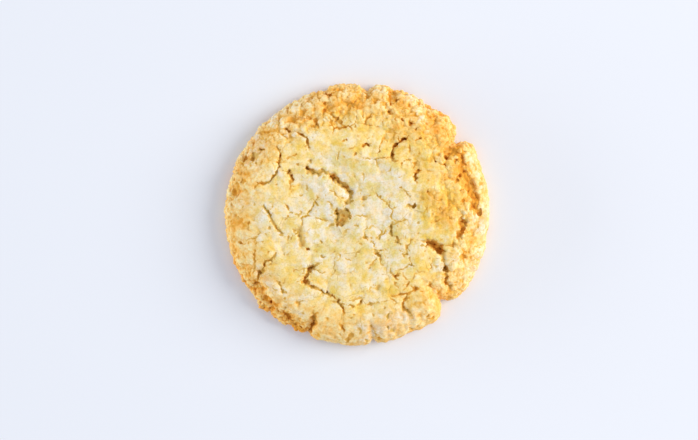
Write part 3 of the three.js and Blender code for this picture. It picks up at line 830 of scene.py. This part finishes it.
def toast_and_shade_of(points, lumpiness, rough):
    x, y, z = points.T
    share = rim_share(x, y)
    hot_side = (0.7 * x + 0.7 * y) / RADIUS
    patches = grain(points, 6.5, 51.0) + 0.6 * grain(points, 2.8, 53.0)
    toast_and_shade = PALE_MIDDLE + 0.3 * smooth(share, 0.38, 0.62) + 0.1 * hot_side * smooth(share, 0.3, 0.6)
    toast_and_shade += 0.06 * smooth(share, 0.86, 0.97)
    # painted light and shade: the lump tops are paler as a highlight, and the hollows between them browner as
    # shade
    toast_and_shade += (0.18 + 0.06 * smooth(share, 0.5, 0.8)) * patches - (0.1 + 0.14 * rough) * (lumpiness - 0.45)
    toast_and_shade += patched(*torn(x, y))
    toast_and_shade += SIDES * smooth(share, 0.93, 1) * (1 - smooth(z, 2, 5.5))
    above = smooth(z, 0.1, 1.2)
    return toast_and_shade * above + (UNDERSIDE + 0.15 * patches) * (1 - above)


def store(mesh, name, values):
    attribute = mesh.attributes.new(name, "FLOAT", "POINT")
    attribute.data.foreach_set("value", np.clip(values, 0, 1).astype(np.float32))
    print(f"{name}: mean {values.mean():.2f}")


points = read(cookie.data.vertices, "co")
share = rim_share(points[:, 0], points[:, 1])
on_top = (points[:, 2] > RIM_HEIGHT) * (1 - smooth(share, 0.96, 1.0))
store(cookie.data, "gap", dark * on_top)
# painted shade: seams between plates and crevices between lumps, for a deeper gold in the material
store(cookie.data, "crease_shade", 0.35 * seams**2 * on_top + crevice_shade)
store(cookie.data, "toast_and_shade", toast_and_shade_of(points, lumpiness, rough))
store(cookie.data, "rim", smooth(share, 0.65, 0.9))

# %% [markdown]
# ## Fewer faces, where there are too many
# So fine a net has far more faces than the flat underside and the level plates need. A collapse decimate
# takes out the edges that change the shape least, so the cracks and the crumb keep theirs. It blends the
# stored attributes as it goes.

# %% Thin out the net
MOST_TRIANGLES = 197000


def thinned(piece, most):
    quads = len(piece.data.polygons)
    decimate = piece.modifiers.new("thin out", "DECIMATE")
    decimate.ratio = min(1.0, most / (2 * quads))
    applied(piece)
    print(f"{quads} quads became {len(piece.data.polygons)} quads and triangles")


thinned(cookie, MOST_TRIANGLES)

# %% [markdown]
# The uneven outline has moved the middle of the crust's box, so the crust is moved back over the origin,
# where the CAD cookie's box is, and scaled to metres. It rides on the body and stands for the CAD cookie,
# which is hidden.

# %% Finish the crust's mesh
def finish_piece(piece):
    points = read(piece.data.vertices, "co")
    low, high = points.min(axis=0), points.max(axis=0)
    middle = (low + high) / 2
    piece.data.transform(Matrix.Scale(MM, 4) @ Matrix.Translation((-middle[0], -middle[1], 0)))
    piece.data.shade_smooth()
    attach(piece, "root")
    print(piece.name, "measures", np.round(high - low, 1), "mm")


finish_piece(cookie)
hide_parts("cookie")

# %% [markdown]
# ## Tools for the material
# A material is a net of nodes. Most of these helpers make one kind of node in its tree and give the socket to
# link on from. All patterns read Object coordinates, so they stay put on the cookie.

# %% Helpers for node trees
def rgb(red, green, blue):
    """A colour in 0-255 screen values as the linear colour that a shader wants."""
    linear = [((c / 255 + 0.055) / 1.055) ** 2.4 if c > 10 else c / 255 / 12.92 for c in (red, green, blue)]
    return (*linear, 1.0)


def new_material(name):
    material = bpy.data.materials.new(name)
    material.use_nodes = True
    return material, material.node_tree


def plug(tree, node, inputs):
    """Links each socket, by its name or number, to another node's output, or gives it a plain value."""
    for key, value in inputs.items():
        if isinstance(value, bpy.types.NodeSocket):
            tree.links.new(value, node.inputs[key])
        else:
            node.inputs[key].default_value = value


def place(tree):
    """Where the point is on the object. One node serves the whole tree."""
    coords = tree.nodes.get("place") or tree.nodes.new("ShaderNodeTexCoord")
    coords.name = "place"
    return coords.outputs["Object"]


def mottle(tree, across, detail=2.0, roughness=0.5, output="Fac"):
    node = tree.nodes.new("ShaderNodeTexNoise")
    plug(tree, node, {"Vector": place(tree), "Scale": 1 / (across * MM)})
    plug(tree, node, {"Detail": detail, "Roughness": roughness})
    return node.outputs[output]


def maths(tree, operation, *values):
    node = tree.nodes.new("ShaderNodeMath")
    node.operation = operation
    node.use_clamp = True
    plug(tree, node, dict(enumerate(values)))
    return node.outputs[0]


print("screen grey 128 is", round(rgb(128, 128, 128)[0], 3), "as light")

# %% [markdown]
# Four more turn a number into a colour, blend two colours, soften a step and read a stored attribute.

# %% Ramps, blends, steps and attributes
def ramp(tree, value, stops):
    node = tree.nodes.new("ShaderNodeValToRGB")
    elements = node.color_ramp.elements
    while len(elements) < len(stops):
        elements.new(0.5)
    for element, (position, colour) in zip(elements, stops):
        element.position = position
        element.color = rgb(*colour)
    plug(tree, node, {"Fac": value})
    return node.outputs["Color"]


def mix(tree, share, first, second, blend="MIX"):
    node = tree.nodes.new("ShaderNodeMix")
    node.data_type = "RGBA"
    node.blend_type = blend
    plug(tree, node, {0: share, 6: first, 7: second})
    return node.outputs[2]


def steps_between(tree, value, low, high, at_low=0.0, at_high=1.0):
    node = tree.nodes.new("ShaderNodeMapRange")
    node.interpolation_type = "SMOOTHSTEP"
    plug(tree, node, {"Value": value, "From Min": low, "From Max": high, "To Min": at_low, "To Max": at_high})
    return node.outputs["Result"]


def stored(tree, name):
    node = tree.nodes.new("ShaderNodeAttribute")
    node.attribute_name = name
    return node.outputs["Fac"]


print("the mesh carries", ", ".join(cookie.data.attributes.keys()))

# %% [markdown]
# ## Hairlines
# The finest cracks are thinner than the net of the mesh, so the material draws them, as the seams of flat
# cells, and presses them in with its bump. A noise bends them, and another breaks them into dashes. They fade
# out where it is steep, because only the dry top crazes.

# %% Hairlines
HAIR_CELL = 5.6
HAIR_WIDTH = 0.15
HAIR_WANDER = 1.4
HAIR_BEND = 1.0


def bent_place(tree):
    node = tree.nodes.new("ShaderNodeVectorMath")
    node.operation = "MULTIPLY_ADD"
    wander = mottle(tree, HAIR_WANDER, output="Color")
    plug(tree, node, {0: wander, 1: (HAIR_BEND * MM, HAIR_BEND * MM, 0), 2: place(tree)})
    return node.outputs["Vector"]


def upward(tree):
    """1 where the surface faces up, and 0 where it is steep."""
    split = tree.nodes.new("ShaderNodeSeparateXYZ")
    plug(tree, split, {0: tree.nodes.new("ShaderNodeNewGeometry").outputs["Normal"]})
    return steps_between(tree, split.outputs["Z"], 0.3, 0.8)


def hairlines(tree):
    """1 on a hairline and 0 off it."""
    cells = tree.nodes.new("ShaderNodeTexVoronoi")
    cells.voronoi_dimensions = "2D"
    cells.feature = "DISTANCE_TO_EDGE"
    plug(tree, cells, {"Vector": bent_place(tree), "Scale": 1 / (HAIR_CELL * MM)})
    width = HAIR_WIDTH / HAIR_CELL
    line = steps_between(tree, cells.outputs["Distance"], 0.2 * width, width, 1.0, 0.0)
    dashes = maths(tree, "MULTIPLY_ADD", mottle(tree, 0.5 * HAIR_CELL), 9.0, -4.6)
    return maths(tree, "MULTIPLY", maths(tree, "MULTIPLY", line, dashes), upward(tree))


print(f"hairlines {HAIR_WIDTH} mm wide, round cells of {HAIR_CELL} mm")

# %% [markdown]
# ## The colour of the skin
# Baked dough is matt, so almost everything is in its colour. Two noises mottle the browning, which carries
# some painted light and shade, and a colour ramp turns it from cream through yellow and gold to orange brown.
# A buttery tint then comes and goes over it, creases get a deeper gold as painted shade, and fine specks dull
# it here and there.

# %% Colour of the skin
SKIN = [
    (0.0, (236, 230, 216)),
    (0.25, (241, 228, 202)),
    (0.5, (253, 227, 166)),
    (0.75, (255, 212, 132)),
    (1.0, (248, 180, 88)),
]
SPECKS = [(0.3, (238, 235, 222)), (0.55, (255, 255, 255))]
MOTTLES = [(1.7, 0.2), (0.6, 0.07)]  # how far across, and how strong
BUTTERY = (6.0, 2.4)  # how far across
BUTTER_TINTS = (rgb(249, 240, 192), rgb(255, 238, 212))  # in the middle and at the rim
# painted shade: the deeper gold of creases and crevices, in the middle and at the rim
CREASE_SHADE_GOLDS = (rgb(238, 186, 60), rgb(230, 158, 36))


def mottled_toast_and_shade(tree):
    toast_and_shade = maths(tree, "MULTIPLY_ADD", stored(tree, "toast_and_shade"), 0.5, 0.23)
    for across, strength in MOTTLES:
        toast_and_shade = maths(tree, "MULTIPLY_ADD", mottle(tree, across, 3.0, 0.6), strength, toast_and_shade)
    return maths(tree, "MULTIPLY_ADD", toast_and_shade, 2.0, -0.75)


def skin_colour(tree, toast_and_shade):
    rim = stored(tree, "rim")
    skin = ramp(tree, toast_and_shade, SKIN)
    tint = mix(tree, rim, *BUTTER_TINTS)
    for across in BUTTERY:
        butter = maths(tree, "MULTIPLY_ADD", mottle(tree, across, 2.0, 0.6), 6.0, -2.8)
        skin = mix(tree, butter, skin, tint, "MULTIPLY")
    # painted shade in creases, stronger towards the rim
    crease_shade_share = maths(tree, "MULTIPLY", stored(tree, "crease_shade"), steps_between(tree, rim, 0.0, 1.0, 0.6, 0.8))
    skin = mix(tree, crease_shade_share, skin, mix(tree, rim, *CREASE_SHADE_GOLDS))
    return mix(tree, 1.0, skin, ramp(tree, mottle(tree, 0.5, 2.0, 0.6), SPECKS), "MULTIPLY")


print(len(SKIN), "shades of skin")

# %% [markdown]
# ## The crust's material
# Inside a tear the crumb shows: a moist gold under pale skin, a baked brown under toasted skin, and deeper
# where less light reaches, which `gap` tells. A trace of light passes under the surface, as it does in any
# dough. A bump is enough for the finest grain, and it presses the hairlines in.

# %% Baked crust
MOIST = [(0.0, (236, 202, 126)), (0.3, (214, 172, 88)), (1.0, (186, 142, 36))]
BAKED = [(0.0, (242, 190, 88)), (0.3, (226, 156, 52)), (1.0, (186, 102, 14))]
HAIR_COLOUR = (198, 160, 80)
MATT_DOUGH = {
    "Roughness": 0.92,
    "Specular IOR Level": 0.2,
    "Subsurface Weight": 0.15,
    "Subsurface Radius": (1.0, 0.7, 0.4),
    "Subsurface Scale": 0.8 * MM,
}


def crumb_colour(tree, toast_and_shade, gap):
    baked_share = maths(tree, "MULTIPLY_ADD", toast_and_shade, 3.0, -0.9)
    return mix(tree, baked_share, ramp(tree, gap, MOIST), ramp(tree, gap, BAKED))


def rough_normal(tree, hairs):
    bump = tree.nodes.new("ShaderNodeBump")
    height = maths(tree, "SUBTRACT", mottle(tree, 0.35, 4.0, 0.65), hairs)
    plug(tree, bump, {"Strength": 0.45, "Distance": 0.12 * MM, "Height": height})
    return bump.outputs["Normal"]


def baked_crust():
    material, tree = new_material("baked_crust")
    toast_and_shade, gap, hairs = mottled_toast_and_shade(tree), stored(tree, "gap"), hairlines(tree)
    skin = mix(tree, maths(tree, "MULTIPLY", hairs, 0.6), skin_colour(tree, toast_and_shade), rgb(*HAIR_COLOUR))
    torn_open = steps_between(tree, gap, 0.02, 0.2)
    colour = mix(tree, torn_open, skin, crumb_colour(tree, toast_and_shade, gap))
    looks = {"Base Color": colour, "Normal": rough_normal(tree, hairs)}
    plug(tree, tree.nodes["Principled BSDF"], {**MATT_DOUGH, **looks})
    return material


crust = baked_crust()
cookie.data.materials.append(crust)
print("the crust's material has", len(crust.node_tree.nodes), "nodes")

# %% [markdown]
# ## The table
# The cookie lies on a plain pale table. One square face is enough. It is matt, so it shows only soft shadow.

# %% Table
TABLE_HALF = 1.5  # in metres, enough to fill the view
MATT_TABLE = {"Base Color": rgb(232, 232, 235), "Roughness": 1.0, "Specular IOR Level": 0.0}


def table():
    bm = bmesh.new()
    bmesh.ops.create_grid(bm, x_segments=1, y_segments=1, size=TABLE_HALF)
    floor = to_object(bm, "table")
    material, tree = new_material("table_top")
    plug(tree, tree.nodes["Principled BSDF"], MATT_TABLE)
    floor.data.materials.append(material)
    print(f"the table is {2 * TABLE_HALF} m across")


table()

# %% [markdown]
# ## The light
# This is daylight from a window. A wide, slightly warm lamp stands to the right, so the shadow falls to the
# left and is soft. Low and far off on the left a broad card throws a little bluish light back. It is so broad
# that it lights the whole left side evenly and casts hardly a shadow. A pale bluish sky fills in the rest.
# The Standard view keeps the pale colours as they are.

# %% Light
def soft_lamp(name, direction, distance, size, energy, colour):
    lamp = bpy.data.lights.new(name, "AREA")
    lamp.shape = "ELLIPSE"
    lamp.size, lamp.size_y = size
    lamp.energy = energy
    lamp.color = colour
    holder = put_in_scene(name, lamp)
    away = Vector(direction).normalized()
    holder.location = away * distance
    holder.rotation_euler = away.to_track_quat("Z", "Y").to_euler()
    print(f"{name}: {energy} W from {distance} m")


def sky(colour, strength):
    world = bpy.data.worlds.new("sky")
    world.use_nodes = True
    background = world.node_tree.nodes["Background"]
    background.inputs["Color"].default_value = colour
    background.inputs["Strength"].default_value = strength
    bpy.context.scene.world = world


soft_lamp("window", direction=(1.0, 0.22, 0.56), distance=2.5, size=(1.8, 1.8),
          energy=60.5, colour=(1.0, 0.965, 0.912))
soft_lamp("card", direction=(-1.0, 0.0, 0.14), distance=8.0, size=(10.0, 2.0),
          energy=400, colour=(0.84, 0.92, 1.0))
sky(rgb(231, 240, 255), 0.73)
bpy.context.scene.view_settings.view_transform = "Standard"

# %% [markdown]
# ## The camera
# The camera looks straight down, which shows the whole cracked top, a little off the cookie's middle. It is
# far enough up to show the table round it, and its long lens hardly swells the near parts.

# %% Camera
VIEW_WIDTH = 2.608 * (HIGH.x - LOW.x)
SHIFT_RIGHT, SHIFT_UP = 0.0024, 0.0017
FOCUS_HEIGHT = HIGH.z * 0.6  # the level at which the view is that wide
LENS, SENSOR = 85, 36  # in millimetres


def camera():
    lens = bpy.data.cameras.new("camera")
    lens.lens = LENS
    lens.sensor_width = SENSOR
    holder = put_in_scene("camera", lens)
    height = VIEW_WIDTH * LENS / SENSOR
    holder.location = (-SHIFT_RIGHT, -SHIFT_UP, FOCUS_HEIGHT + height)
    bpy.context.scene.camera = holder
    print(f"the camera is {height:.2f} m up and sees {VIEW_WIDTH:.2f} m across")


camera()

# %% [markdown]
# ## Finish
# Last, the scene is brought up to date.

# %% Finish
bpy.context.view_layer.update()
